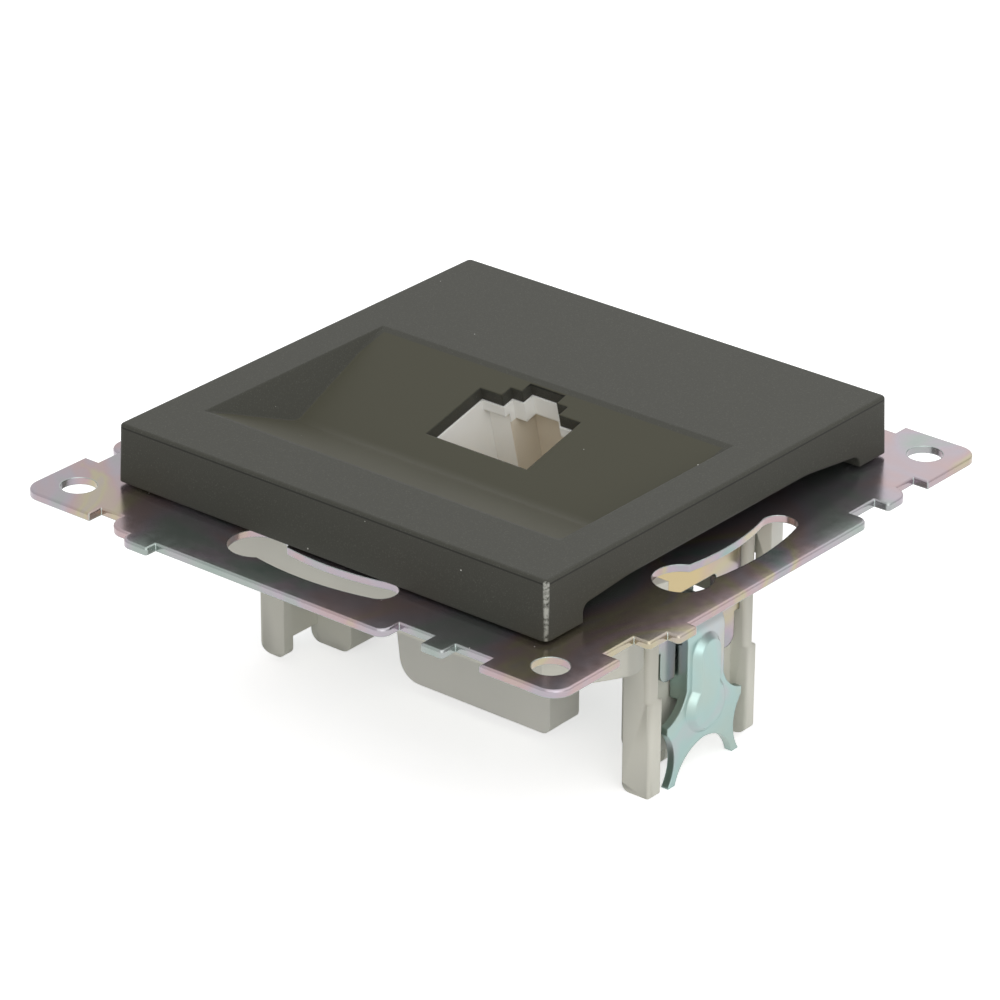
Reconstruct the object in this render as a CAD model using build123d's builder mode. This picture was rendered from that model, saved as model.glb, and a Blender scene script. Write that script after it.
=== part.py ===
from build123d import *
import os
from math import cos, radians, tan

# Flush ethernet socket insert for a 60 mm wall box, in millimetres.
# The origin is the centre of the support ring's front face.
# +Z points out of the wall, the wall box lies at z below zero, and the
# jack is at its widest along X.

# cover plate
cover_size = 55.35
cover_draft = 2.0
cover_front = 6.8
cover_foot = 0.45
cover_wall = 1.8
cover_corner = 0.55
cover_edge = 0.35
face_wall = 1.5
floor_wall = 1.4
arch = ((-22.3, 2.3), (-15.0, 2.85), (14.0, 2.85), (23.0, 1.7))
arch_rounds = (1.0, 20.0, 20.0, 1.2)

# finger recess in the cover: a wedge, deepest near its front ramp
recess_half = 23.0
recess_lean = 34.0
recess_back = 7.9
recess_low = -9.1
recess_lip = -20.0
recess_slope = 13.8
recess_soft = 3.0

# stepped socket mouth, measured along the sloping floor from the jack's axis
mouth_steps = ((13.2, -4.8, 4.1), (7.5, -4.8, 5.6), (4.6, -4.8, 7.1))

# snap legs of the cover
leg_x = 13.5
leg_y = 16.4
leg_width = 5.0
leg_thick = 1.3
leg_end = -3.2
barb = 0.6
barb_high = 2.2
leg_travel = 2.2

# support ring: stamped sheet whose edges interlock with its neighbours
sheet = 0.8
tooth_root = 33.0
tab_reach = 34.8
tab_start = 25.3
corner_round = 2.2
hole_pitch = 61.3
corner_hole = 3.8
slot_circle = 30.0
slot_width = 3.7
slot_half = 15.4
keyhole = 6.1
window_half = 13.0
sheet_roll = 0.25

# each tooth: start and end along its side, reach, rounding at start and end
teeth_x = (
    (-20.9, -18.1, 34.9, 0.4, 0),
    (-18.1, -15.1, 36.3, 0.4, 0.4),
    (-15.1, 14.5, 35.3, 0, 1.2),
    (18.5, 22.4, 34.8, 0.4, 2.0),
)
teeth_y = (
    (-22.5, -19.3, 35.5, 2.1, 0),
    (-19.3, -15.6, 36.9, 1.3, 0.3),
    (-15.6, 13.9, 35.5, 0, 1.2),
    (18.1, 20.9, 35.0, 0.4, 0.4),
)

# lugs bent down from the ring, with a fork that holds each claw
bay_y = 0.6
lug_face = 24.3
lug_low = -5.9
lug_high = 7.9
lug_wing = -8.4
lug_wing_foot = 4.6
lug_play = 0.2
lug_waist = 11.0
lug_foot = 14.6
lug_inset = 0.8
lug_round = 1.2
fork_width = 6.6
fork_top = 5.4
fork_round = 0.6
ring_relief = 1.2

# claws and their screws
claw_sheet = 0.9
claw_gap = 0.5
claw_arm_z = -8.2
claw_bend = 1.6
claw_arm_end = 16.2
claw_neck = 3.0
claw_waist = -16.0
claw_wing = (6.1, -18.9, -19.7)
claw_tuck = (4.9, -22.6)
claw_toe = (5.85, 4.75, -25.9)
claw_arch = -22.2
ridge_width = 4.4
ridge_high = 0.7
ridge_top = -10.4
ridge_foot = -21.0
ridge_lean = 42
dome_z = -18.4
dome = 3.1
flange_deep = 1.3
flange_top = -11.0
flange_foot = -17.2
pivot_x = 17.1
pivot_rib = 1.5
screw_x = 20.3
screw_dia = 2.6
screw_play = 0.05
screw_head = 5.0
screw_head_high = 1.6
screw_end = -21.5
hole_long = 4.2
hole_wide = 3.1

# carrier: the plastic body behind the ring
depth = 26.0
drum = 28.5
drum_flat = 19.6
drum_foot = 10.2
drum_wall = 1.8
skirt_end = -20.6
skirt_round = 3.0
deck = 2.0
deck_window = (8.6, -7.0, 12.0)
post_low = -8.1
post_inner_low = -6.1
post_inner_high = 8.1
post_high = 9.5
post_in = 22.0
post_out = 25.6
post_top_in = 21.5
post_inner_z = -13.0
post_step = 0.5
post_edge = 0.6
post_neck_z = -15.3
post_short = 0.6
post_toes = (0.5, 1.7)
post_heel = 0.9
web = 1.2
web_foot = 23.2
block_in = 17.3
block_out = 22.9
block_low = -2.2
block_high = 4.2
block_top = -10.4
block_foot = 25.4
block_round = 1.3
block_bore = 3.4

# jack, circuit board and terminals
jack_half = 8.0
jack_low = -7.2
jack_high = 9.0
jack_front = 1.5
jack_pocket = 0.1
jack_collar = 2.3
board_z = -15.6
board = 1.6
board_half = 12.6
board_low = -6.6
board_high = 16.4
cavity_deep = 13.5
cavity = (13.0, -4.7, 4.7, 1.2)
channel = (7.3, 3.5, 8.3, 2.3)
contacts = 8
contact_pitch = 1.02
contact_width = 0.5
contact_sheet = 0.35
spring = (-4.3, 3.6, -2.3, 11.0, 20.3)
pillar_x = 11.0
pillar_y = (-4.6, 14.0)
pillar = 2.6
pin = 1.5
row_y = (-2.8, 9.6)
ways = 4
way_pitch = 3.7
way_slot = 1.2
way_deep = 3.4
strip_thick = 3.4
strip_high = 4.6
blade = 0.4
blade_width = 2.6
cap_length = 20.7
cap_thick = 4.8
cap_foot = -25.1
cap_top = -17.9
cap_lip = 1.9
cap_step = 0.4
cap_round = 2.6
cap_slant = 0.9

# rivets that hold ring and carrier together
rivet_x = 20.0
rivet_y = 13.6
rivet_dia = 2.4
rivet_head = 4.2
rivet_head_high = 0.6

rise = tan(radians(recess_slope))
recess_depth = (recess_back - recess_low) * rise
recess_floor = cover_front - recess_depth
axis_z = cover_front - recess_back * rise
jack_plane = Plane(
    origin=(0, 0, axis_z),
    x_dir=(1, 0, 0),
    z_dir=(0, -rise, 1),
)
lug_back = lug_face - sheet
claw_back = lug_face + claw_gap
claw_front = claw_back + claw_sheet
standing = (Align.CENTER, Align.CENTER, Align.MIN)


def save(builder, name):
    builder.part.label = name
    export_step(builder.part, f"parts/{name}.step")


def recess_block(grow):
    """Recess as a solid, its side view crossed with its end view, grown by a wall."""
    lean = tan(radians(recess_lean))
    low = recess_floor - grow
    above = cover_front + 1
    with BuildPart() as block:
        with BuildSketch(Plane.YZ) as side_view:
            with BuildLine():
                Polyline(
                    (recess_back + grow, above),
                    (recess_back + grow, cover_front - grow),
                    (recess_low, low),
                    (recess_lip - grow, cover_front - grow / 2),
                    (recess_lip - grow, above),
                    close=True,
                )
            make_face()
            lowest = side_view.vertices().sort_by(Axis.Y)[0]
            fillet(lowest, recess_soft)
        extrude(amount=cover_size, both=True)
        with BuildSketch(Plane.XZ):
            with BuildLine():
                Polyline(
                    (-recess_half - grow - lean, above),
                    (recess_half + grow + lean, above),
                    (recess_half + grow - (cover_front - low) * lean, low),
                    (-recess_half - grow + (cover_front - low) * lean, low),
                    close=True,
                )
            make_face()
        extrude(amount=cover_size, both=True, mode=Mode.INTERSECT)
    return block.part


def mouth(fit):
    """Stepped outline of the socket mouth, opened all round by a fit."""
    with BuildSketch() as outline:
        for width, low, high in mouth_steps:
            with Locations((0, (low + high) / 2)):
                Rectangle(width + 2 * fit, high - low + 2 * fit)
    return outline.sketch


def tooth(start, end, reach, start_round, end_round):
    """One tooth of the ring's +X side."""
    inner = tooth_root - 2
    with BuildSketch() as one:
        with Locations(((inner + reach) / 2, (start + end) / 2)):
            Rectangle(reach - inner, end - start)
        outer = one.vertices().group_by(Axis.X)[-1].sort_by(Axis.Y)
        if start_round:
            fillet(outer[0], start_round)
        outer = one.vertices().group_by(Axis.X)[-1].sort_by(Axis.Y)
        if end_round:
            fillet(outer[-1], end_round)
    return one.sketch


os.makedirs("parts", exist_ok=True)

recess_cut = recess_block(0)
recess_shell = recess_block(floor_wall)
mouth_face = mouth(0)

# cover plate with its recess, arched feet on the X sides, and snap legs
with BuildPart() as cover:
    with BuildSketch(Plane.XY.offset(cover_front)):
        RectangleRounded(cover_size, cover_size, cover_corner)
    extrude(amount=cover_foot - cover_front, taper=-cover_draft)
    fillet(cover.faces().sort_by(Axis.Z)[-1].edges(), cover_edge)
    with BuildSketch(Plane.XY.offset(cover_foot)):
        Rectangle(cover_size - 2 * cover_wall, cover_size - 2 * cover_wall)
    extrude(amount=cover_front - cover_foot - face_wall, mode=Mode.SUBTRACT)
    add(recess_shell)
    with BuildSketch(Plane.XY.offset(cover_front)):
        Rectangle(2 * cover_size, 2 * cover_size)
    extrude(amount=2, mode=Mode.SUBTRACT)
    with BuildSketch(jack_plane):
        add(mouth_face)
    extrude(amount=3 * floor_wall, both=True, mode=Mode.SUBTRACT)
    with BuildSketch(jack_plane.offset(jack_pocket - jack_front)):
        with Locations((0, (jack_low + jack_high) / 2)):
            Rectangle(2 * jack_half + 0.6, jack_high - jack_low + 0.6)
    extrude(amount=-8, mode=Mode.SUBTRACT)
    for side in (-1, 1):
        with BuildSketch(Plane.YZ.offset(side * (cover_size / 2 - cover_wall - 0.5))) as arch_view:
            with BuildLine():
                Polyline((arch[0][0], 0), *arch, (arch[-1][0], 0), close=True)
            make_face()
            for corner, curve in zip(arch, arch_rounds):
                nearest = arch_view.vertices().sort_by_distance(corner)[0]
                fillet(nearest, curve)
        extrude(amount=side * 2 * cover_wall, mode=Mode.SUBTRACT)
    for side in (-1, 1):
        leg_face = side * leg_y
        with BuildSketch(Plane.XY.offset(leg_end)):
            with Locations((-leg_x, leg_face), (leg_x, leg_face)):
                Rectangle(leg_width, leg_thick)
        extrude(amount=cover_front - 0.2 - face_wall - leg_end + 0.4)
        for x in (-leg_x, leg_x):
            with BuildSketch(Plane.YZ.offset(x)):
                with BuildLine():
                    edge = side * (leg_y + leg_thick / 2)
                    Polyline(
                        (edge, leg_end),
                        (edge + side * barb, leg_end + barb_high / 2),
                        (edge, leg_end + barb_high),
                        close=True,
                    )
                make_face()
            extrude(amount=leg_width / 2, both=True)
    add(recess_cut, mode=Mode.SUBTRACT)
save(cover, "cover_plate")

# support ring with its slots, window and the two bent lugs
with BuildPart() as ring:
    with BuildSketch(Plane.XY.offset(-sheet)) as blank:
        RectangleRounded(2 * tab_reach, 2 * tab_reach, corner_round)
        band = tab_reach - tooth_root + 1
        with PolarLocations(tooth_root + band / 2, 4):
            Rectangle(band, 2 * tab_start, mode=Mode.SUBTRACT)
        for turn in (0, 180):
            for size in teeth_x:
                add(tooth(*size), rotation=turn)
            for size in teeth_y:
                add(tooth(*size), rotation=turn - 90)
        with GridLocations(hole_pitch, hole_pitch, 2, 2):
            Circle(corner_hole / 2, mode=Mode.SUBTRACT)
        for turn in range(0, 360, 90):
            centreline = CenterArc((0, 0), slot_circle, turn - slot_half, 2 * slot_half, mode=Mode.PRIVATE)
            SlotArc(centreline, slot_width, mode=Mode.SUBTRACT)
            with PolarLocations(slot_circle, 1, start_angle=turn - slot_half):
                Circle(keyhole / 2, mode=Mode.SUBTRACT)
        Rectangle(2 * window_half, 2 * window_half, mode=Mode.SUBTRACT)
        for side in (-1, 1):
            with Locations((side * lug_back / 2, side * (lug_wing + lug_high) / 2)):
                Rectangle(lug_back, lug_high - lug_wing + 2 * ring_relief, mode=Mode.SUBTRACT)
        with GridLocations(2 * leg_x, 2 * leg_y, 2, 2):
            Rectangle(leg_width + 0.6, leg_thick + 0.5, mode=Mode.SUBTRACT)
        with GridLocations(2 * rivet_x, 2 * rivet_y, 2, 2):
            Circle(rivet_dia / 2 + 0.02, mode=Mode.SUBTRACT)
    extrude(amount=sheet)
    rim = ring.faces().sort_by(Axis.Z)[-1].outer_wire().edges()
    fillet(rim, sheet_roll)
    for side in (-1, 1):
        lug_y = side * (lug_low + lug_high) / 2
        with BuildSketch(Plane.YZ.offset(side * (lug_back + sheet / 2))) as lug:
            with Locations((side * (lug_wing + lug_high) / 2, -lug_wing_foot / 2)):
                Rectangle(lug_high - lug_wing, lug_wing_foot)
            with Locations((lug_y, -lug_waist / 2)):
                Rectangle(lug_high - lug_low, lug_waist)
            with Locations((lug_y, -(lug_foot + sheet) / 2)):
                Rectangle(lug_high - lug_low - 2 * lug_inset, lug_foot - sheet)
            fillet(lug.vertices().group_by(Axis.Y)[0], lug_round)
            with Locations((side * bay_y, -(fork_top + lug_foot + fork_width) / 2)):
                RectangleRounded(fork_width, lug_foot + fork_width - fork_top, fork_round, mode=Mode.SUBTRACT)
        extrude(amount=sheet / 2, both=True)
save(ring, "support_ring")

# carrier: deck, skirt, posts and the screw blocks, alike after half a turn
with BuildPart() as carrier:
    with BuildSketch(Plane.XY.offset(-sheet)):
        Circle(drum)
        Rectangle(2 * drum, 2 * drum_flat, mode=Mode.INTERSECT)
        with Locations((0, (deck_window[1] + deck_window[2]) / 2)):
            Rectangle(2 * deck_window[0], deck_window[2] - deck_window[1], mode=Mode.SUBTRACT)
        with GridLocations(2 * leg_x, 2 * leg_y, 2, 2):
            Rectangle(leg_width + 0.6, leg_thick + leg_travel, mode=Mode.SUBTRACT)
        with GridLocations(2 * rivet_x, 2 * rivet_y, 2, 2):
            Circle(rivet_dia / 2 + 0.02, mode=Mode.SUBTRACT)
        for side in (-1, 1):
            with Locations((side * (post_top_in + drum) / 2, side * (post_low + post_high) / 2)):
                Rectangle(drum - post_top_in + 2, post_high - post_low, mode=Mode.SUBTRACT)
    extrude(amount=-deck)
    for side in (-1, 1):
        with BuildSketch(Plane.XY.offset(-sheet)) as skirt:
            Circle(drum)
            with Locations((side * (skirt_end + drum) / 2, side * (post_low - drum_flat) / 2)):
                Rectangle(drum - skirt_end, drum_flat + post_low, mode=Mode.INTERSECT)
            outermost = skirt.vertices().sort_by_distance((side * drum, side * post_low))[0]
            fillet(outermost, skirt_round)
            offset(amount=-drum_wall, mode=Mode.SUBTRACT)
            with Locations((side * (post_in + skirt_end) / 2, side * (post_low - drum_flat + drum_wall) / 2)):
                Rectangle(post_in - skirt_end, drum_flat + post_low - drum_wall, mode=Mode.SUBTRACT)
        extrude(amount=-(drum_foot - sheet))
        with BuildSketch(Plane.XY.offset(-sheet)):
            Circle(drum)
            Circle(drum - drum_wall, mode=Mode.SUBTRACT)
            with Locations((side * drum, side * (post_high + drum_flat) / 2)):
                Rectangle(2 * (drum + skirt_end), drum_flat - post_high, mode=Mode.INTERSECT)
        extrude(amount=-(drum_foot - sheet))
    for side in (-1, 1):
        front_post = (post_low, post_inner_low, depth, post_toes[0])
        back_post = (post_inner_high, post_high, depth - post_short, post_toes[1])
        for low, high, foot, toe in (front_post, back_post):
            post_y = side * (low + high) / 2
            with BuildPart():
                with BuildSketch(Plane.XY.offset(-foot)) as post:
                    with Locations((side * (post_in + post_out) / 2, post_y)):
                        Rectangle(post_out - post_in, high - low)
                    fillet(post.vertices().group_by(Axis.X)[-1 if side > 0 else 0], post_edge)
                extrude(amount=foot + post_neck_z)
                with BuildSketch(Plane.XZ.offset(-post_y)) as elevation:
                    with Locations((side * (post_in + post_out) / 2, (post_neck_z - foot) / 2)):
                        Rectangle(post_out - post_in, foot + post_neck_z)
                    fillet(elevation.vertices().sort_by_distance((side * post_out, -foot))[0], toe)
                    fillet(elevation.vertices().sort_by_distance((side * post_in, -foot))[0], post_heel)
                extrude(amount=high - low, both=True, mode=Mode.INTERSECT)
            with BuildSketch(Plane.XY.offset(post_neck_z)) as post:
                with Locations((side * (post_in + post_out - post_step) / 2, post_y)):
                    Rectangle(post_out - post_step - post_in, high - low)
                fillet(post.vertices().group_by(Axis.X)[-1 if side > 0 else 0], post_edge)
            extrude(amount=-post_neck_z - sheet - deck / 2)
            with BuildSketch(Plane.XY.offset(post_inner_z)):
                with Locations((side * (post_top_in + post_in + 0.5) / 2, post_y)):
                    Rectangle(post_in + 0.5 - post_top_in, high - low)
            extrude(amount=-post_inner_z - sheet - deck / 2)
        with BuildSketch(Plane.XZ.offset(-side * (block_low + block_high) / 2)) as block_view:
            with Locations((side * (block_in + block_out) / 2, (block_top - block_foot) / 2)):
                Rectangle(block_out - block_in, block_foot + block_top)
            fillet(block_view.vertices().group_by(Axis.Y)[0], block_round)
        extrude(amount=(block_high - block_low) / 2, both=True)
        with BuildSketch(Plane.XY.offset(-web_foot)):
            with Locations((side * (post_in + web / 2), side * (post_low + post_high) / 2)):
                Rectangle(web, post_high - post_low - 0.6)
        extrude(amount=web_foot + block_top)
        with BuildSketch(Plane.XY.offset(-sheet)):
            with Locations((side * screw_x, side * bay_y)):
                Rectangle(2 * (screw_x - block_in), block_high - block_low)
        extrude(amount=-deck)
        for y in ((post_low + post_inner_low) / 2, (post_inner_high + post_high) / 2):
            with BuildSketch(Plane.XY.offset(block_top)):
                with Locations((side * (block_in + post_in + web) / 2, side * y)):
                    Rectangle(post_in + web - block_in, web)
            extrude(amount=-block_top - sheet - deck / 2)
        with BuildSketch(Plane.XY.offset(claw_arm_z + 0.05)):
            with Locations((side * (pivot_x - pivot_rib / 2), side * bay_y)):
                Rectangle(pivot_rib, 2 * claw_neck)
        extrude(amount=-claw_arm_z - sheet - deck / 2)
        slot_in = lug_back - lug_play
        slot_low = lug_wing - lug_play
        slot_high = lug_high + lug_play
        with BuildSketch(Plane.XY.offset(-sheet)):
            with Locations((side * (slot_in + post_out) / 2, side * (slot_low + slot_high) / 2)):
                Rectangle(post_out - slot_in, slot_high - slot_low)
        extrude(amount=-(lug_wing_foot - sheet + lug_play), mode=Mode.SUBTRACT)
        with Locations((side * screw_x, side * bay_y, -depth)):
            Cylinder(block_bore / 2, depth + block_top + 1, align=standing, mode=Mode.SUBTRACT)
        with Locations((side * screw_x, side * bay_y, -sheet - deck - 1)):
            Cylinder(screw_dia / 2 + screw_play, deck + 2, align=standing, mode=Mode.SUBTRACT)
    for x in (-pillar_x, pillar_x):
        for y in pillar_y:
            with Locations((x, y, board_z)):
                Cylinder(pillar / 2, -board_z - sheet - deck / 2, align=standing)
            with Locations((x, y, board_z - board - pin / 2)):
                Cylinder(pin / 2, board + pin, align=standing)
save(carrier, "carrier")

# spring claw: an arm under the deck, bent down into a plate with two feet
with BuildPart() as claw_right:
    with BuildSketch(Plane.XZ.offset(-bay_y)) as bend:
        with BuildLine():
            Polyline(
                (claw_arm_end, claw_arm_z),
                (claw_front, claw_arm_z),
                (claw_front, claw_waist - 1),
                (claw_back, claw_waist - 1),
                (claw_back, claw_arm_z - claw_sheet),
                (claw_arm_end, claw_arm_z - claw_sheet),
                close=True,
            )
        make_face()
        outer_corner = bend.vertices().sort_by_distance((claw_front, claw_arm_z))[0]
        fillet(outer_corner, claw_bend + claw_sheet)
        inner_corner = bend.vertices().sort_by_distance((claw_back, claw_arm_z - claw_sheet))[0]
        fillet(inner_corner, claw_bend)
    extrude(amount=claw_neck, both=True)
    with BuildSketch(Plane.YZ.offset(claw_back)):
        for side in (-1, 1):
            with BuildLine():
                start = (bay_y, claw_waist)
                neck = (bay_y + side * claw_neck, claw_waist)
                wing = (bay_y + side * claw_wing[0], claw_wing[1])
                wing_end = (bay_y + side * claw_wing[0], claw_wing[2])
                toe = (bay_y + side * claw_toe[0], claw_toe[2])
                toe_in = (bay_y + side * claw_toe[1], claw_toe[2])
                Line(start, neck)
                ThreePointArc(neck, (bay_y + side * (claw_neck + 1.0), claw_waist - 1.7), wing)
                Line(wing, wing_end)
                ThreePointArc(wing_end, (bay_y + side * claw_tuck[0], claw_tuck[1]), toe)
                Line(toe, toe_in)
                ThreePointArc(toe_in, (bay_y + side * (claw_toe[1] - 1.9), claw_arch - 1.0), (bay_y, claw_arch))
                Line((bay_y, claw_arch), start)
            make_face()
    extrude(amount=claw_sheet)
    with BuildSketch(Plane.YZ.offset(claw_front)):
        with Locations((bay_y, (ridge_top + ridge_foot) / 2)):
            SlotOverall(ridge_top - ridge_foot, ridge_width, rotation=90)
        with Locations((bay_y, dome_z)):
            Circle(dome)
    extrude(amount=ridge_high, taper=ridge_lean)
    with BuildSketch(Plane.YZ.offset(claw_back)):
        with Locations((bay_y, (ridge_top + ridge_foot) / 2)):
            SlotOverall(ridge_top - ridge_foot - 0.4, ridge_width - 0.4, rotation=90)
    extrude(amount=ridge_high, taper=ridge_lean, mode=Mode.SUBTRACT)
    with BuildSketch(Plane.YZ.offset(claw_back)):
        for side in (-1, 1):
            with Locations((bay_y + side * (claw_neck - claw_sheet / 2), (flange_top + flange_foot) / 2)):
                Rectangle(claw_sheet, flange_top - flange_foot)
    extrude(amount=-flange_deep)
    with BuildSketch(Plane.XY.offset(claw_arm_z)):
        with Locations((screw_x, bay_y)):
            SlotOverall(hole_long, hole_wide)
    extrude(amount=-2 * claw_sheet, mode=Mode.SUBTRACT)
save(claw_right, "claw_right")

with BuildPart() as claw_left:
    add(claw_right.part, rotation=(0, 0, 180))
save(claw_left, "claw_left")

# screws that draw the claws up
for side, name in ((1, "claw_screw_right"), (-1, "claw_screw_left")):
    with BuildPart() as screw:
        with Locations((side * screw_x, side * bay_y, screw_end)):
            Cylinder(screw_dia / 2, -sheet - screw_end, align=standing)
        with BuildSketch(Plane.XY.offset(-sheet)):
            with Locations((side * screw_x, side * bay_y)):
                Circle(screw_head / 2)
        extrude(amount=screw_head_high)
        fillet(screw.faces().sort_by(Axis.Z)[-1].edges(), 0.6)
        chamfer(screw.faces().sort_by(Axis.Z)[0].edges(), 0.5)
        with BuildSketch(Plane.XY.offset(screw_head_high - sheet)):
            with Locations((side * screw_x, side * bay_y)):
                Rectangle(screw_head, 0.8)
                Rectangle(0.8, screw_head * 0.6)
        extrude(amount=-0.9, mode=Mode.SUBTRACT)
    save(screw, name)

# jack housing, tilted with the recess floor and standing on the board
with BuildPart() as jack:
    with BuildSketch(jack_plane.offset(-jack_front)):
        with Locations((0, (jack_low + jack_high) / 2)):
            RectangleRounded(2 * jack_half, jack_high - jack_low, 0.6)
    extrude(amount=-30)
    with BuildSketch(Plane.XY.offset(board_z)):
        Rectangle(60, 60)
    extrude(amount=-30, mode=Mode.SUBTRACT)
    with BuildSketch(jack_plane.offset(-jack_front)):
        add(mouth(-0.1))
    extrude(amount=-jack_collar, mode=Mode.SUBTRACT)
    for width, low, high, lip in (cavity, channel):
        with BuildSketch(jack_plane.offset(-jack_front - lip)):
            with Locations((0, (low + high) / 2)):
                Rectangle(width, high - low)
        extrude(amount=lip - cavity_deep, mode=Mode.SUBTRACT)
    for number in range(contacts):
        u = (number - (contacts - 1) / 2) * contact_pitch
        with BuildSketch(jack_plane.offset(-jack_front - cavity_deep + 0.1)):
            with Locations((u, spring[2])):
                Rectangle(contact_width + 0.1, contact_sheet + 0.1)
        extrude(amount=-12, mode=Mode.SUBTRACT)
save(jack, "jack_housing")

# spring contacts of the jack
for number in range(contacts):
    u = (number - (contacts - 1) / 2) * contact_pitch
    contact_plane = Plane(origin=(u, 0, axis_z), x_dir=(0, 1, rise), z_dir=(1, 0, 0))
    with BuildPart() as contact:
        with BuildSketch(contact_plane):
            with BuildLine():
                Polyline(
                    (spring[0], -spring[1]),
                    (spring[2] - contact_sheet / 2, -spring[3]),
                    (spring[2] - contact_sheet / 2, -spring[4]),
                    (spring[2] + contact_sheet / 2, -spring[4]),
                    (spring[2] + contact_sheet / 2, -spring[3] + 0.1),
                    (spring[0] + contact_sheet, -spring[1]),
                    close=True,
                )
            make_face()
        extrude(amount=contact_width / 2, both=True)
    save(contact, f"jack_contact_{number + 1}")

# circuit board
with BuildPart() as circuit:
    with BuildSketch(Plane.XY.offset(board_z - board)):
        with Locations((0, (board_low + board_high) / 2)):
            RectangleRounded(2 * board_half, board_high - board_low, 1)
        for x in (-pillar_x, pillar_x):
            for y in pillar_y:
                with Locations((x, y)):
                    Circle(pin / 2 + 0.02, mode=Mode.SUBTRACT)
    extrude(amount=board)
save(circuit, "circuit_board")

# two rows of cutting terminals under the board
strip_length = ways * way_pitch + 1.0
strip_top = board_z - board
for row, y in enumerate(row_y):
    with BuildPart() as strip:
        with BuildSketch(Plane.XY.offset(strip_top)):
            with Locations((0, y)):
                Rectangle(strip_length, strip_thick)
        extrude(amount=-strip_high)
        foot = strip_top - strip_high
        with BuildSketch(Plane.XY.offset(foot)):
            with Locations((0, y)):
                with GridLocations(way_pitch, 1, ways, 1):
                    Rectangle(way_slot, strip_thick)
        extrude(amount=way_deep, mode=Mode.SUBTRACT)
        with BuildSketch(Plane.XY.offset(foot)):
            with Locations((0, y)):
                with GridLocations(way_pitch, 1, ways, 1):
                    Rectangle(blade_width + 0.1, blade + 0.1)
        extrude(amount=strip_high, mode=Mode.SUBTRACT)
    save(strip, f"terminal_strip_{row + 1}")
    for way in range(ways):
        x = (way - (ways - 1) / 2) * way_pitch
        with BuildPart() as terminal:
            with BuildSketch(Plane.XY.offset(foot + 0.5)):
                with Locations((x, y)):
                    Rectangle(blade_width, blade)
            extrude(amount=strip_high - 0.5)
            with BuildSketch(Plane.XY.offset(foot + 0.5)):
                with Locations((x, y)):
                    Rectangle(0.35, blade)
            extrude(amount=way_deep - 0.9, mode=Mode.SUBTRACT)
            with BuildSketch(Plane.XZ.offset(-y)):
                with BuildLine():
                    Polyline((x - 0.8, foot + 0.5), (x + 0.8, foot + 0.5), (x, foot + 1.6), close=True)
                make_face()
            extrude(amount=blade, both=True, mode=Mode.SUBTRACT)
        save(terminal, f"terminal_contact_{row * ways + way + 1}")

# cap pressed over the front row of terminals
with BuildPart() as cap:
    with BuildSketch(Plane.XZ.offset(-row_y[0])) as front:
        with BuildLine():
            Polyline(
                (-cap_length / 2, cap_top),
                (cap_length / 2, cap_top),
                (cap_length / 2, cap_foot),
                (-cap_length / 2 + cap_slant, cap_foot),
                close=True,
            )
        make_face()
        low = front.vertices().group_by(Axis.Y)[0].sort_by(Axis.X)
        fillet(low[0], cap_round)
        low = front.vertices().group_by(Axis.Y)[0].sort_by(Axis.X)
        fillet(low[-1], 1.0)
    extrude(amount=cap_thick / 2, both=True)
    with BuildSketch(Plane.XY.offset(cap_top)):
        with Locations((0, row_y[0])):
            Rectangle(strip_length + 0.2, strip_thick + 0.2)
    extrude(amount=-(cap_top - strip_top + strip_high + 0.2), mode=Mode.SUBTRACT)
    with BuildSketch(Plane.XY.offset(cap_foot)):
        with Locations((0, row_y[0] + cap_thick / 2)):
            Rectangle(cap_length + 1, 2 * (cap_thick - cap_lip))
    extrude(amount=cap_step, mode=Mode.SUBTRACT)
save(cap, "wire_cap")

# rivets through ring and carrier
with BuildPart() as rivets:
    with GridLocations(2 * rivet_x, 2 * rivet_y, 2, 2):
        with Locations((0, 0, -sheet - deck - rivet_head_high)):
            Cylinder(rivet_dia / 2, sheet + deck + 2 * rivet_head_high, align=standing)
            Cylinder(rivet_head / 2, rivet_head_high, align=standing)
        with Locations((0, 0, 0)):
            Cylinder(rivet_head / 2, rivet_head_high, align=standing)
    fillet(rivets.faces().sort_by(Axis.Z)[-4:].edges(), rivet_head_high * 0.6)
save(rivets, "rivets")
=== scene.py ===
import bpy
import bmesh
import math
from mathutils import Matrix, Vector


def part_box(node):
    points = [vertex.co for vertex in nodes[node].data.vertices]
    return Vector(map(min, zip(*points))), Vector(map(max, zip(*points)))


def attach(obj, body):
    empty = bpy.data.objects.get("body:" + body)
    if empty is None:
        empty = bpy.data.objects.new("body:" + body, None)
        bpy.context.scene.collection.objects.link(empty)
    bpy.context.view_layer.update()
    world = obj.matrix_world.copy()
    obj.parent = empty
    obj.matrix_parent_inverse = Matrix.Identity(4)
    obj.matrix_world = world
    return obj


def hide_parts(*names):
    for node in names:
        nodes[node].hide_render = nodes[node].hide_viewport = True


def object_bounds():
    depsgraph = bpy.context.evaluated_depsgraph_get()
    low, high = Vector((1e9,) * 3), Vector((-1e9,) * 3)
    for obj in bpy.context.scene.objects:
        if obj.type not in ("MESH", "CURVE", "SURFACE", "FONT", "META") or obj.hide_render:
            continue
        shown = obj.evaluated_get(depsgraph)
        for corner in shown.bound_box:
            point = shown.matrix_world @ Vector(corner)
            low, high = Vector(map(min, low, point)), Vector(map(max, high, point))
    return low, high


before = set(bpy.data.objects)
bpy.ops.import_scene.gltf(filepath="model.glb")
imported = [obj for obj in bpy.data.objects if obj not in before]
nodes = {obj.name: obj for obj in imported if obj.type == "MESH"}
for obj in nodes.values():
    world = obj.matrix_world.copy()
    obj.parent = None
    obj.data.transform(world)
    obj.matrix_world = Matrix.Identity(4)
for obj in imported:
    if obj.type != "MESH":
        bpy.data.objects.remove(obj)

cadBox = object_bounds()
millimetre = 0.001
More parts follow.
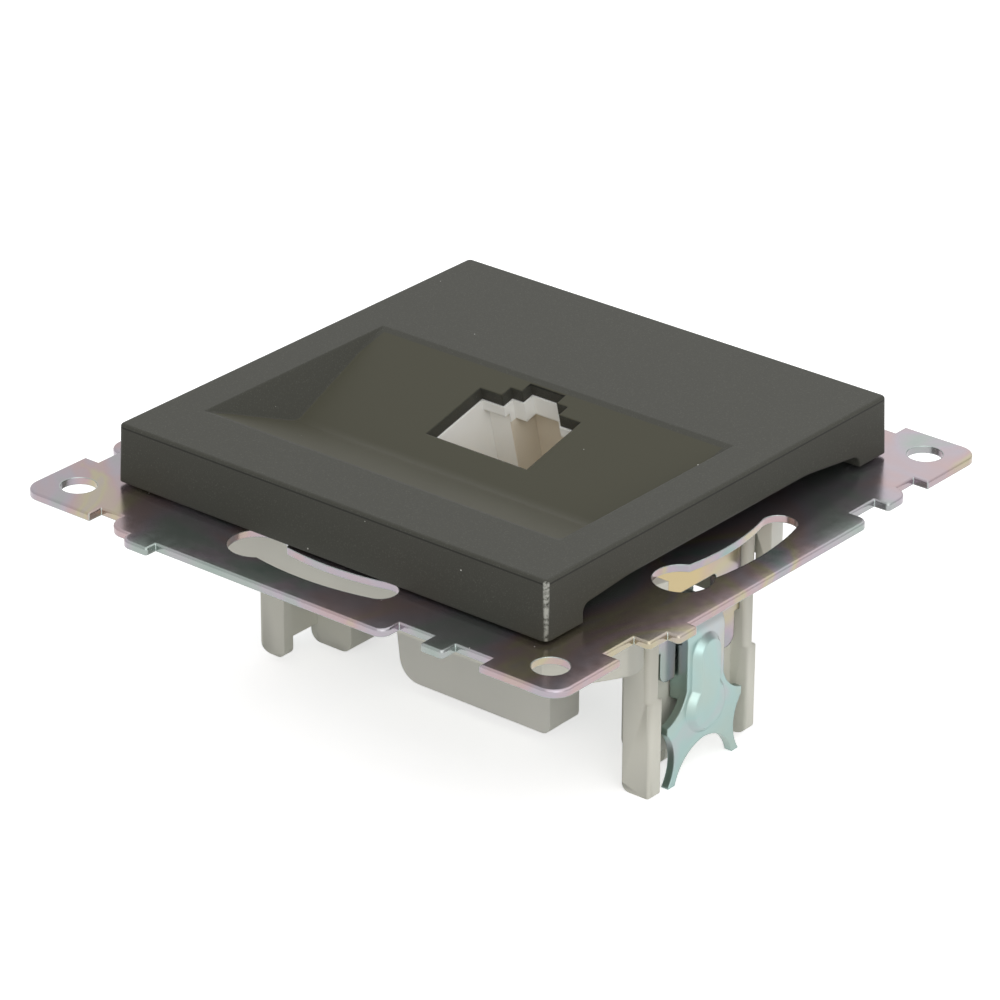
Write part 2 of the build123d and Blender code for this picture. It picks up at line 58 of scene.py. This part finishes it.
mergeGap = 0.000002   # closer points than this are one point in a merged copy


# sRGB hex to the linear colour that shaders take
def srgb(code):
    parts = [int(code[i:i + 2], 16) / 255 for i in (0, 2, 4)]
    linear = [c / 12.92 if c <= 0.04045 else ((c + 0.055) / 1.055) ** 2.4 for c in parts]
    return (*linear, 1.0)


# a node or an output is linked to its socket, and anything else is set on it
def feed(tree, node, inputs):
    for key, value in inputs.items():
        if isinstance(value, bpy.types.Node):
            value = next(output for output in value.outputs if output.enabled)
        if isinstance(value, bpy.types.NodeSocket):
            tree.links.new(value, node.inputs[key])
        else:
            node.inputs[key].default_value = value


# adds a node with its settings and feeds its sockets; stops are the places and colours of a ramp
def addNode(tree, kind, settings=None, inputs=None):
    made = tree.nodes.new(kind)
    for key, value in (settings or {}).items():
        if key != "stops":
            setattr(made, key, value)
            continue
        band = made.color_ramp.elements
        while len(band) > 1:
            band.remove(band[0])
        band[0].position, band[0].color = value[0][0], srgb(value[0][1])
        for place, code in value[1:]:
            band.new(place).color = srgb(code)
    feed(tree, made, inputs or {})
    return made


def newMaterial(name):
    made = bpy.data.materials.new(name)
    made.use_nodes = True
    tree = made.node_tree
    coordinates = addNode(tree, "ShaderNodeTexCoord").outputs["Object"]
    return made, tree, tree.nodes["Principled BSDF"], coordinates


# 1 for what the camera sees, straight or in metal or glass, and 0 for the light that reaches the object
def seenDirectly(tree):
    rays = addNode(tree, "ShaderNodeLightPath").outputs
    straight = addNode(tree, "ShaderNodeMath", {"operation": "MAXIMUM"},
                       {0: rays["Is Camera Ray"], 1: rays["Is Transmission Ray"]})
    return addNode(tree, "ShaderNodeMath", {"operation": "MAXIMUM"}, {0: straight, 1: rays["Is Glossy Ray"]})


print("camera")
# long lens, a little over half a metre away, fitted to the ring's corners and the cover
view = {"azimuth": 39.166, "elevation": 25.82, "roll": 0.381, "distance": 520.895,
        "focal": 5108.6, "across": -0.509, "upward": -3.111,
        "frame": 1000, "sensor": 36, "near": 0.01}
azimuth, elevation, roll = (math.radians(view[k]) for k in ("azimuth", "elevation", "roll"))
back = Vector((math.sin(azimuth) * math.cos(elevation), -math.cos(azimuth) * math.cos(elevation),
               math.sin(elevation)))
right = Vector((0, 0, 1)).cross(back).normalized()
upward = back.cross(right)
tiltedRight = right * math.cos(roll) + upward * math.sin(roll)
tiltedUp = upward * math.cos(roll) - right * math.sin(roll)
place = (back * view["distance"] + tiltedRight * view["across"] + tiltedUp * view["upward"]) * millimetre
cameraData = bpy.data.cameras.new("camera")
cameraData.sensor_width = view["sensor"]
cameraData.lens = view["focal"] * view["sensor"] / view["frame"]
cameraData.clip_start = view["near"]
camera = bpy.data.objects.new("camera", cameraData)
camera.matrix_world = Matrix((
    (tiltedRight.x, tiltedUp.x, back.x, place.x),
    (tiltedRight.y, tiltedUp.y, back.y, place.y),
    (tiltedRight.z, tiltedUp.z, back.z, place.z),
    (0, 0, 0, 1)))
bpy.context.collection.objects.link(camera)
bpy.context.scene.camera = camera
bpy.context.scene.view_settings.view_transform = "Standard"


print("light and floor")
# wide lamps, so that the plated metal shows no lamp brighter than the room
studio = {
    "world": 0.5,
    "lamps": {
        "key": {"at": (0.25, 0.1, 0.9), "size": 1.3, "watts": 4.0},
        "side": {"at": (0.8, -0.45, 0.3), "size": 0.8, "watts": 2.0},
        "front": {"at": (0.35, -0.55, 0.5), "size": 0.8, "watts": 1.8},
        "rear": {"at": (-0.2, 0.8, 0.6), "size": 0.8, "watts": 0.8},
    },
    "floorReach": 1.5,
    "floorBounce": 0.6,
    "paper": 0.85,
    "paperLift": 0.6,
}
white = (1, 1, 1, 1)
world = bpy.data.worlds.new("studio")
bpy.context.scene.world = world
world.use_nodes = True
tree = world.node_tree
tree.nodes.clear()
backdrop = addNode(tree, "ShaderNodeBackground", None, {"Color": white, "Strength": 1.0})
room = addNode(tree, "ShaderNodeBackground", None, {"Color": white, "Strength": studio["world"]})
chosen = addNode(tree, "ShaderNodeMixShader", None, {0: seenDirectly(tree), 1: room, 2: backdrop})
addNode(tree, "ShaderNodeOutputWorld", None, {"Surface": chosen})

for name, values in studio["lamps"].items():
    light = bpy.data.lights.new(name, "AREA")
    light.size = values["size"]
    light.energy = values["watts"]
    lamp = bpy.data.objects.new(name, light)
    lamp.location = values["at"]
    lamp.rotation_euler = (-Vector(values["at"])).to_track_quat("-Z", "Y").to_euler()
    bpy.context.collection.objects.link(lamp)

reach = studio["floorReach"]
floorMesh = bpy.data.meshes.new("floor")
floorMesh.from_pydata([(-reach, -reach, 0), (reach, -reach, 0), (reach, reach, 0), (-reach, reach, 0)],
                      [], [(0, 1, 2, 3)])
floor = bpy.data.objects.new("floor", floorMesh)
floor.location.z = cadBox[0][2]
bpy.context.collection.objects.link(floor)
# white where the camera looks at it, with the shadow kept, and a dimmer bounce towards the object
paper = bpy.data.materials.new("white paper sweep")
paper.use_nodes = True
tree = paper.node_tree
tree.nodes.clear()
bounce = addNode(tree, "ShaderNodeBsdfDiffuse", None, {"Color": (studio["floorBounce"],) * 3 + (1,)})
sheet = addNode(tree, "ShaderNodeBsdfDiffuse", None, {"Color": (studio["paper"],) * 3 + (1,)})
lift = addNode(tree, "ShaderNodeEmission", None, {"Color": white, "Strength": studio["paperLift"]})
lit = addNode(tree, "ShaderNodeAddShader", None, {0: sheet, 1: lift})
chosen = addNode(tree, "ShaderNodeMixShader", None, {0: seenDirectly(tree), 1: bounce, 2: lit})
# clear from below, so that the underside can be looked at
clearBelow = addNode(tree, "ShaderNodeBsdfTransparent")
fromBelow = addNode(tree, "ShaderNodeNewGeometry").outputs["Backfacing"]
oneSided = addNode(tree, "ShaderNodeMixShader", None, {0: fromBelow, 1: chosen, 2: clearBelow})
addNode(tree, "ShaderNodeOutputMaterial", None, {"Surface": oneSided})
floorMesh.materials.append(paper)


print("materials")
dustSize = 0.00009


# settled dust: share is how many cells of the spacing hold a speck, sizes in metres
def specks(tree, coordinates, spacing, share):
    cells = addNode(tree, "ShaderNodeTexVoronoi", None, {"Vector": coordinates, "Scale": 1 / spacing}).outputs
    spot = addNode(tree, "ShaderNodeMapRange", None,
                   {"Value": cells["Distance"], "From Min": dustSize / spacing,
                    "From Max": 0.5 * dustSize / spacing})
    chance = addNode(tree, "ShaderNodeSeparateXYZ", None, {0: cells["Color"]}).outputs["X"]
    kept = addNode(tree, "ShaderNodeMath", {"operation": "LESS_THAN"}, {0: chance, 1: share})
    return addNode(tree, "ShaderNodeMath", {"operation": "MULTIPLY"}, {0: spot, 1: kept})


# cover: injection moulded, sprayed with a matt anthracite lacquer. The eye sees a soft dark sheen with a
# fine flake, drawn coarser than the real 0.05 mm so that it shows. One upright corner carries a light broken
# line, partly rubbed wear and partly painted highlight; a thin darker line runs round under the face's edge,
# and the sunk floor is more olive.
coverLook = {"paint": "42423C", "fleck": "54544D", "flakeSize": 0.00014, "flakeFrom": 0.56, "flakeFull": 0.78,
             "rough": 0.45, "specular": 0.12, "round": 0.0003, "bump": 0.12, "bumpDepth": 0.00005,
             "wearAndHighlight": "A9AAA2", "wearAndHighlightFrom": 0.05531, "wearAndHighlightFull": 0.05542, "draft": 0.07,
             "patches": 2600.0, "patchFrom": 0.34, "patchFull": 0.56,
             "darkLine": "2E2E2A", "darkLineAt": 0.00640, "darkLineHalf": 0.00009, "wallTilt": 0.4,
             "olive": "47463A", "oliveTop": 0.0066, "oliveHalf": 0.0222, "floorTilt": 0.9,
             "dust": "D8D8D0", "dustGap": 0.0024, "dustShare": 0.22}
lacquer, tree, shader, coordinates = newMaterial("matt anthracite lacquer on moulded plastic")
rounded = addNode(tree, "ShaderNodeBevel", {"samples": 6}, {"Radius": coverLook["round"]})
grain = addNode(tree, "ShaderNodeTexNoise", None,
                {"Vector": coordinates, "Scale": 1 / coverLook["flakeSize"], "Detail": 2.0})
flake = addNode(tree, "ShaderNodeValToRGB",
                {"stops": ((0.0, coverLook["paint"]), (coverLook["flakeFrom"], coverLook["paint"]),
                           (coverLook["flakeFull"], coverLook["fleck"]))}, {"Fac": grain})
axes = addNode(tree, "ShaderNodeSeparateXYZ", None, {0: coordinates}).outputs
normals = addNode(tree, "ShaderNodeNewGeometry").outputs["Normal"]
tilt = addNode(tree, "ShaderNodeSeparateXYZ", None, {0: normals}).outputs["Z"]
level = addNode(tree, "ShaderNodeMath", {"operation": "ABSOLUTE"}, {0: tilt})
# olive on the sunk floor around the mouth
sunk = addNode(tree, "ShaderNodeMath", {"operation": "LESS_THAN"}, {0: axes["Z"], 1: coverLook["oliveTop"]})
sideways = addNode(tree, "ShaderNodeMath", {"operation": "ABSOLUTE"}, {0: axes["X"]})
within = addNode(tree, "ShaderNodeMath", {"operation": "LESS_THAN"}, {0: sideways, 1: coverLook["oliveHalf"]})
flat = addNode(tree, "ShaderNodeMath", {"operation": "GREATER_THAN"}, {0: level, 1: coverLook["floorTilt"]})
sunkWithin = addNode(tree, "ShaderNodeMath", {"operation": "MULTIPLY"}, {0: sunk, 1: within})
olive = addNode(tree, "ShaderNodeMath", {"operation": "MULTIPLY"}, {0: sunkWithin, 1: flat})
tinted = addNode(tree, "ShaderNodeMix", {"data_type": "RGBA"},
                 {"Factor": olive, 6: flake, 7: srgb(coverLook["olive"])})
# a darker line under the face's edge, on upright walls only
atDarkLine = addNode(tree, "ShaderNodeMath", {"operation": "COMPARE"},
                 {0: axes["Z"], 1: coverLook["darkLineAt"], 2: coverLook["darkLineHalf"]})
steep = addNode(tree, "ShaderNodeMath", {"operation": "LESS_THAN"}, {0: level, 1: coverLook["wallTilt"]})
darkLine = addNode(tree, "ShaderNodeMath", {"operation": "MULTIPLY"}, {0: atDarkLine, 1: steep})
painted = addNode(tree, "ShaderNodeMix", {"data_type": "RGBA"},
                  {"Factor": darkLine, 6: tinted, 7: srgb(coverLook["darkLine"])})
# x less y grows towards the corner with the wear and painted highlight, and the draft is taken off with the
# height
corner = addNode(tree, "ShaderNodeMath", {"operation": "SUBTRACT"}, {0: axes["X"], 1: axes["Y"]})
drafted = addNode(tree, "ShaderNodeMath", {"operation": "MULTIPLY_ADD"},
                  {0: axes["Z"], 1: coverLook["draft"], 2: corner})
onCorner = addNode(tree, "ShaderNodeMapRange", None,
                   {"Value": drafted, "From Min": coverLook["wearAndHighlightFrom"], "From Max": coverLook["wearAndHighlightFull"]})
patches = addNode(tree, "ShaderNodeTexNoise", None,
                  {"Vector": coordinates, "Scale": coverLook["patches"], "Detail": 3.0})
uneven = addNode(tree, "ShaderNodeMapRange", None,
                 {"Value": patches, "From Min": coverLook["patchFrom"], "From Max": coverLook["patchFull"]})
# painted highlight with wear: a light broken line on the one upright corner
wearAndHighlight = addNode(tree, "ShaderNodeMath", {"operation": "MULTIPLY"}, {0: onCorner, 1: uneven})
rubbedAndHighlit = addNode(tree, "ShaderNodeMix", {"data_type": "RGBA"},
                 {"Factor": wearAndHighlight, 6: painted, 7: srgb(coverLook["wearAndHighlight"])})
dust = specks(tree, coordinates, coverLook["dustGap"], coverLook["dustShare"])
dusted = addNode(tree, "ShaderNodeMix", {"data_type": "RGBA"},
                 {"Factor": dust, 6: rubbedAndHighlit, 7: srgb(coverLook["dust"])})
bump = addNode(tree, "ShaderNodeBump", None, {"Strength": coverLook["bump"], "Distance": coverLook["bumpDepth"],
                                              "Height": grain, "Normal": rounded})
feed(tree, shader, {"Base Color": dusted, "Roughness": coverLook["rough"],
                    "Specular IOR Level": coverLook["specular"], "Normal": bump})

# ring: stamped steel, zinc plated and passivated. The eye sees a colour that drifts over some 18 mm from
# green-grey to pink and straw, a gloss that changes over a millimetre, paler sheared edges and settled
# dust. The bent lugs are straw coloured on the half that shows through their keyholes.
ringLook = {"film": ((0.28, "87968F"), (0.38, "959D99"), (0.46, "A199A1"), (0.54, "A99495"), (0.60, "AAA287"),
                     (0.66, "A296A0"), (0.76, "8A9C99")),
            "drift": 55.0, "smooth": 0.14, "dull": 0.28, "scratches": 900.0, "metal": 0.88, "round": 0.0002,
            "edge": "ABB7B3", "edgeFrom": 0.995, "edgeFull": 0.85,
            "straw": "B5A47C", "lugFace": 0.0243, "strawEnd": 0.004, "strawFull": 0.0005,
            "strawAt": -0.0036, "strawHalf": 0.0024,
            "dust": "CFCDC6", "dustGap": 0.0022, "dustShare": 0.3}
passivated, tree, shader, coordinates = newMaterial("iridescent passivated zinc on stamped steel")
rounded = addNode(tree, "ShaderNodeBevel", {"samples": 6}, {"Radius": ringLook["round"]})
drift = addNode(tree, "ShaderNodeTexNoise", None,
                {"Vector": coordinates, "Scale": ringLook["drift"], "Detail": 3.0, "Distortion": 1.2})
film = addNode(tree, "ShaderNodeValToRGB", {"stops": ringLook["film"]}, {"Fac": drift})
# x times y has the same sign on the two lugs, which are alike after half a turn
axes = addNode(tree, "ShaderNodeSeparateXYZ", None, {0: coordinates}).outputs
mirrored = addNode(tree, "ShaderNodeMath", {"operation": "MULTIPLY"}, {0: axes["X"], 1: axes["Y"]})
towards = addNode(tree, "ShaderNodeMapRange", None,
                  {"Value": mirrored, "From Min": ringLook["lugFace"] * ringLook["strawEnd"],
                   "From Max": ringLook["lugFace"] * ringLook["strawFull"]})
onLug = addNode(tree, "ShaderNodeMath", {"operation": "COMPARE"},
                {0: axes["Z"], 1: ringLook["strawAt"], 2: ringLook["strawHalf"]})
straw = addNode(tree, "ShaderNodeMath", {"operation": "MULTIPLY"}, {0: towards, 1: onLug})
strawed = addNode(tree, "ShaderNodeMix", {"data_type": "RGBA"},
                  {"Factor": straw, 6: film, 7: srgb(ringLook["straw"])})
# an edge is where the rounded normal leans away from the flat one
flatNormal = addNode(tree, "ShaderNodeNewGeometry").outputs["Normal"]
agreement = addNode(tree, "ShaderNodeVectorMath", {"operation": "DOT_PRODUCT"}, {0: rounded, 1: flatNormal})
edges = addNode(tree, "ShaderNodeMapRange", None,
                {"Value": agreement, "From Min": ringLook["edgeFrom"], "From Max": ringLook["edgeFull"]})
pale = addNode(tree, "ShaderNodeMix", {"data_type": "RGBA"},
               {"Factor": edges, 6: strawed, 7: srgb(ringLook["edge"])})
dust = specks(tree, coordinates, ringLook["dustGap"], ringLook["dustShare"])
dusted = addNode(tree, "ShaderNodeMix", {"data_type": "RGBA"},
                 {"Factor": dust, 6: pale, 7: srgb(ringLook["dust"])})
clean = addNode(tree, "ShaderNodeMapRange", None, {"Value": dust, "To Min": ringLook["metal"], "To Max": 0.0})
streak = addNode(tree, "ShaderNodeTexNoise", None,
                 {"Vector": coordinates, "Scale": ringLook["scratches"], "Detail": 4.0})
satin = addNode(tree, "ShaderNodeMapRange", None,
                {"Value": streak, "To Min": ringLook["smooth"], "To Max": ringLook["dull"]})
feed(tree, shader, {"Base Color": dusted, "Metallic": clean, "Roughness": satin, "Normal": rounded})

# claws: the same zinc, blue passivated, so that the eye sees a pale green-blue that drifts over some 11 mm
clawLook = {"film": ((0.30, "A1B1AA"), (0.48, "9BB3B0"), (0.60, "A8ADAF"), (0.72, "AFAB9B")),
            "drift": 90.0, "rough": 0.3, "round": 0.00025}
blueZinc, tree, shader, coordinates = newMaterial("blue passivated zinc")
rounded = addNode(tree, "ShaderNodeBevel", {"samples": 6}, {"Radius": clawLook["round"]})
drift = addNode(tree, "ShaderNodeTexNoise", None,
                {"Vector": coordinates, "Scale": clawLook["drift"], "Detail": 3.0, "Distortion": 0.8})
film = addNode(tree, "ShaderNodeValToRGB", {"stops": clawLook["film"]}, {"Fac": drift})
feed(tree, shader, {"Base Color": film, "Metallic": 1.0, "Roughness": clawLook["rough"], "Normal": rounded})

# injection moulded plastic, unpainted: a tone that drifts over some 8 mm, soft edges and a matt
# spark-eroded skin, drawn at 0.17 mm instead of some 0.03 mm so that it shows
mouldingLook = {"cloud": 120.0, "mottle": 0.06, "round": 0.0002, "skin": 6000.0, "bump": 0.08,
                "bumpDepth": 0.00004}


def mouldedPlastic(name, code, rough):
    made, tree, shader, coordinates = newMaterial(name)
    rounded = addNode(tree, "ShaderNodeBevel", {"samples": 6}, {"Radius": mouldingLook["round"]})
    cloud = addNode(tree, "ShaderNodeTexNoise", None,
                    {"Vector": coordinates, "Scale": mouldingLook["cloud"], "Detail": 2.0})
    tone = addNode(tree, "ShaderNodeMapRange", None,
                   {"Value": cloud, "To Min": 1.0 - mouldingLook["mottle"],
                    "To Max": 1.0 + mouldingLook["mottle"]})
    shade = addNode(tree, "ShaderNodeVectorMath", {"operation": "SCALE"}, {0: srgb(code)[:3], "Scale": tone})
    skin = addNode(tree, "ShaderNodeTexNoise", None,
                   {"Vector": coordinates, "Scale": mouldingLook["skin"], "Detail": 2.0})
    bump = addNode(tree, "ShaderNodeBump", None,
                   {"Strength": mouldingLook["bump"], "Distance": mouldingLook["bumpDepth"],
                    "Height": skin, "Normal": rounded})
    feed(tree, shader, {"Base Color": shade, "Roughness": rough, "Normal": bump})
    return made


ivory = mouldedPlastic("ivory polyamide moulding", "D9D8CC", 0.5)
jackPlastic = mouldedPlastic("light grey jack moulding", "F0F0EC", 0.45)
capPlastic = mouldedPlastic("stone grey cap moulding", "E2E1D8", 0.5)
stripPlastic = mouldedPlastic("ivory terminal moulding", "CFCCBE", 0.5)
solderMask = mouldedPlastic("green solder mask", "2E5A3C", 0.3)

# painted shade: the middle of the jack's plug hole, deep under its pale collar, is a darker beige for the
# shade that falls there, and the outer walls aren't
jackLook = {"paintedShadeBeige": "E2DACA", "half": 0.0038, "lean": 0.2456, "collarEnd": 0.00095,
            "midway": 0.003, "reach": 0.0082}
tree = jackPlastic.node_tree
shader = tree.nodes["Principled BSDF"]
plainShade = shader.inputs["Base Color"].links[0].from_socket
coordinates = addNode(tree, "ShaderNodeTexCoord").outputs["Object"]
axes = addNode(tree, "ShaderNodeSeparateXYZ", None, {0: coordinates}).outputs
sideways = addNode(tree, "ShaderNodeMath", {"operation": "ABSOLUTE"}, {0: axes["X"]})
middle = addNode(tree, "ShaderNodeMath", {"operation": "LESS_THAN"}, {0: sideways, 1: jackLook["half"]})
# height over the sloping floor that the mouth is cut in
sloped = addNode(tree, "ShaderNodeMath", {"operation": "MULTIPLY_ADD"},
                 {0: axes["Y"], 1: -jackLook["lean"], 2: axes["Z"]})
deep = addNode(tree, "ShaderNodeMath", {"operation": "LESS_THAN"}, {0: sloped, 1: jackLook["collarEnd"]})
inner = addNode(tree, "ShaderNodeMath", {"operation": "COMPARE"},
                {0: axes["Y"], 1: jackLook["midway"], 2: jackLook["reach"]})
deepMiddle = addNode(tree, "ShaderNodeMath", {"operation": "MULTIPLY"}, {0: middle, 1: deep})
# painted shade: deep in the middle of the plug hole, below the collar
paintedShadeBeige = addNode(tree, "ShaderNodeMath", {"operation": "MULTIPLY"}, {0: deepMiddle, 1: inner})
mouthWithPaintedShade = addNode(tree, "ShaderNodeMix", {"data_type": "RGBA"},
                    {"Factor": paintedShadeBeige, 6: plainShade, 7: srgb(jackLook["paintedShadeBeige"])})
feed(tree, shader, {"Base Color": mouthWithPaintedShade})

# barrel plated small metal: bright, and cloudy over a millimetre or two
platingLook = {"cloud": 700.0, "darkest": 0.85, "brightest": 1.1, "round": 0.0001}


def platedMetal(name, code, rough):
    made, tree, shader, coordinates = newMaterial(name)
    rounded = addNode(tree, "ShaderNodeBevel", {"samples": 6}, {"Radius": platingLook["round"]})
    cloud = addNode(tree, "ShaderNodeTexNoise", None,
                    {"Vector": coordinates, "Scale": platingLook["cloud"], "Detail": 3.0})
    tone = addNode(tree, "ShaderNodeMapRange", None,
                   {"Value": cloud, "To Min": platingLook["darkest"], "To Max": platingLook["brightest"]})
    shade = addNode(tree, "ShaderNodeVectorMath", {"operation": "SCALE"}, {0: srgb(code)[:3], "Scale": tone})
    feed(tree, shader, {"Base Color": shade, "Metallic": 1.0, "Roughness": rough, "Normal": rounded})
    return made


gold = platedMetal("gold flashed spring bronze", "E0B866", 0.22)
tin = platedMetal("tinned bronze", "C9CAC6", 0.3)
zinc = platedMetal("zinc plated screw steel", "BFC4C0", 0.3)

looks = {"cover_plate": lacquer, "support_ring": passivated, "carrier": ivory, "rivets": zinc,
         "jack_housing": jackPlastic, "circuit_board": solderMask, "wire_cap": capPlastic,
         "claw_right": blueZinc, "claw_left": blueZinc, "claw_screw_right": zinc, "claw_screw_left": zinc}
rowLooks = {"jack_contact": gold, "terminal_contact": tin, "terminal_strip": stripPlastic}
for name, piece in nodes.items():
    look = looks.get(name) or rowLooks[name.rpartition("_")[0]]
    for materialSlot in piece.material_slots:
        materialSlot.material = look


# a tree of geometry nodes whose named inputs are the sizes that it is given
def sizedTree(name, sizes):
    tree = bpy.data.node_groups.new(name, "GeometryNodeTree")
    kinds = {tuple: "NodeSocketVector", int: "NodeSocketInt", float: "NodeSocketFloat"}
    for label, value in sizes.items():
        socket = tree.interface.new_socket(label, in_out="INPUT", socket_type=kinds[type(value)])
        socket.default_value = value
    tree.interface.new_socket("Geometry", in_out="OUTPUT", socket_type="NodeSocketGeometry")
    return tree, addNode(tree, "NodeGroupInput").outputs


# ends a tree with real geometry in its material
def endTree(tree, geometry, material):
    real = addNode(tree, "GeometryNodeRealizeInstances", None, {"Geometry": geometry})
    finished = addNode(tree, "GeometryNodeSetMaterial", None, {"Geometry": real, "Material": material})
    addNode(tree, "NodeGroupOutput", None, {"Geometry": finished})


# runs a tree with these sizes and keeps the result as a plain mesh
def meshFromTree(name, tree, sizes):
    holder = bpy.data.objects.new(name, bpy.data.meshes.new(name))
    bpy.context.collection.objects.link(holder)
    modifier = holder.modifiers.new(name, "NODES")
    modifier.node_group = tree
    for socket in tree.interface.items_tree:
        if socket.in_out == "INPUT":
            modifier[socket.identifier] = sizes[socket.name]
    evaluated = holder.evaluated_get(bpy.context.evaluated_depsgraph_get())
    plain = bpy.data.meshes.new_from_object(evaluated)
    holder.modifiers.clear()
    holder.data = plain
    return holder


# a CAD node's loose triangles joined, to be changed as a copy
def mergedCopy(name):
    whole = bmesh.new()
    whole.from_mesh(nodes[name].data)
    bmesh.ops.remove_doubles(whole, verts=whole.verts, dist=mergeGap)
    return whole


# a merged mesh in its one material: round faces smooth, edges past 30 degrees sharp
def softenFaces(mesh):
    for face in mesh.polygons:
        face.material_index = 0
        face.use_smooth = True
    mesh.set_sharp_from_angle(angle=math.radians(30))


# what of a piece is shared by every one: the node it stands for and the body it rides
def placePiece(piece, body, replaced=None):
    if replaced:
        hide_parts(replaced)
    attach(piece, body)


print("carrier")
# the outer wall behind the right claw ends higher than the solid's, where the ring hides its foot
carrierFix = {"foot": -0.0102, "raised": -0.0070, "level": 0.00005, "reach": 0.0210, "step": 0.00006,
              "past": 0.0092}
whole = mergedCopy("carrier")
# two close cuts leave an upright step where the raised foot begins
for cutAt in (carrierFix["reach"], carrierFix["reach"] + carrierFix["step"]):
    bmesh.ops.bisect_plane(whole, geom=whole.verts[:] + whole.edges[:] + whole.faces[:],
                           plane_co=(cutAt, 0, 0), plane_no=(1, 0, 0))
for vertex in whole.verts:
    atFoot = abs(vertex.co.z - carrierFix["foot"]) < carrierFix["level"]
    beyond = vertex.co.x > carrierFix["reach"] + carrierFix["step"] / 2
    if atFoot and beyond and vertex.co.y > carrierFix["past"]:
        vertex.co.z = carrierFix["raised"]
carrierMesh = bpy.data.meshes.new("carrier_moulding")
whole.to_mesh(carrierMesh)
whole.free()
carrierMesh.materials.append(ivory)
carrierPiece = bpy.data.objects.new("carrier_moulding", carrierMesh)
bpy.context.collection.objects.link(carrierPiece)
softenFaces(carrierMesh)
placePiece(carrierPiece, "frame", "carrier")


print("claw screws")
# M2.6 screws, whose real pitch is 0.45 mm; here a little coarser, so that the thread shows
screwSizes = {"Core Radius": 0.00104, "Thread Height": 0.00026, "Pitch": 0.0006, "Threaded": 0.0176,
              "Segments": 20, "Foot": (0.0203, 0.0006, -0.0212)}
screwNeckEnd = -0.0036
tree, sizes = sizedTree("threaded shank", screwSizes)
turns = addNode(tree, "ShaderNodeMath", {"operation": "DIVIDE"}, {0: sizes["Threaded"], 1: sizes["Pitch"]})
helix = addNode(tree, "GeometryNodeCurveSpiral", None,
                {"Resolution": sizes["Segments"], "Rotations": turns, "Start Radius": sizes["Core Radius"],
                 "End Radius": sizes["Core Radius"], "Height": sizes["Threaded"]})
upright = addNode(tree, "GeometryNodeSetCurveNormal", {"mode": "Z_UP"}, {"Curve": helix})
ridgeShape = addNode(tree, "GeometryNodeCurvePrimitiveCircle", None,
                     {"Resolution": 4, "Radius": sizes["Thread Height"]})
ridge = addNode(tree, "GeometryNodeCurveToMesh", None,
                {"Curve": upright, "Profile Curve": ridgeShape, "Fill Caps": True})
core = addNode(tree, "GeometryNodeMeshCylinder", None,
               {"Vertices": sizes["Segments"], "Radius": sizes["Core Radius"], "Depth": sizes["Threaded"]})
half = addNode(tree, "ShaderNodeMath", {"operation": "MULTIPLY"}, {0: sizes["Threaded"], 1: 0.5})
halfUp = addNode(tree, "ShaderNodeCombineXYZ", None, {"Z": half})
raised = addNode(tree, "GeometryNodeTransform", None, {"Geometry": core, "Translation": halfUp})
both = addNode(tree, "GeometryNodeJoinGeometry")
for part in (ridge, raised):
    feed(tree, both, {0: part})
seated = addNode(tree, "GeometryNodeTransform", None, {"Geometry": both, "Translation": sizes["Foot"]})
endTree(tree, seated, zinc)
for side, turn in (("right", 0), ("left", math.pi)):
    piece = meshFromTree(f"threaded_claw_screw_{side}", tree, screwSizes)
    piece.data.transform(Matrix.Rotation(turn, 4, "Z"))
    # the head and plain neck stay as they are, and the thread starts under the deck
    whole = mergedCopy(f"claw_screw_{side}")
    bmesh.ops.bisect_plane(whole, geom=whole.verts[:] + whole.edges[:] + whole.faces[:],
                           plane_co=(0, 0, screwNeckEnd), plane_no=(0, 0, 1), clear_inner=True)
    bmesh.ops.holes_fill(whole, edges=[edge for edge in whole.edges if edge.is_boundary])
    whole.from_mesh(piece.data)
    whole.to_mesh(piece.data)
    whole.free()
    softenFaces(piece.data)
    placePiece(piece, f"screw_{side}_body", f"claw_screw_{side}")


print("solder joints")
# the jack's eight pins in two staggered rows, soldered under the board, and the terminals' pins above it
solderSizes = {"Across": 4, "Rows": 1, "Pitch": 0.00254, "Row Pitch": 0.00254, "Bead": 0.00062,
               "Start": (0.0, 0.0, 0.0), "Squash": (1.0, 1.0, 0.75)}
boardFoot, boardTop = (corner[2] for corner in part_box("circuit_board"))
rows = {"jack_joints_1": {"Start": (-0.00064, 0.0024, boardFoot)},
        "jack_joints_2": {"Start": (0.00064, 0.0049, boardFoot)},
        "terminal_joints_1": {"Start": (0.0, -0.0046, boardTop), "Pitch": 0.0037},
        "terminal_joints_2": {"Start": (0.0, 0.0122, boardTop), "Pitch": 0.0037}}
tree, sizes = sizedTree("soldered pins", solderSizes)
gaps = addNode(tree, "ShaderNodeMath", {"operation": "SUBTRACT"}, {0: sizes["Across"], 1: 1.0})
width = addNode(tree, "ShaderNodeMath", {"operation": "MULTIPLY"}, {0: gaps, 1: sizes["Pitch"]})
spots = addNode(tree, "GeometryNodeMeshGrid", None,
                {"Size X": width, "Size Y": sizes["Row Pitch"], "Vertices X": sizes["Across"],
                 "Vertices Y": sizes["Rows"]})
bead = addNode(tree, "GeometryNodeMeshUVSphere", None, {"Segments": 16, "Rings": 10, "Radius": sizes["Bead"]})
beads = addNode(tree, "GeometryNodeInstanceOnPoints", None,
                {"Points": spots, "Instance": bead, "Scale": sizes["Squash"]})
seated = addNode(tree, "GeometryNodeTransform", None, {"Geometry": beads, "Translation": sizes["Start"]})
endTree(tree, seated, tin)
for name, changed in rows.items():
    piece = meshFromTree(name, tree, {**solderSizes, **changed})
    placePiece(piece, "frame")


print("sizes")
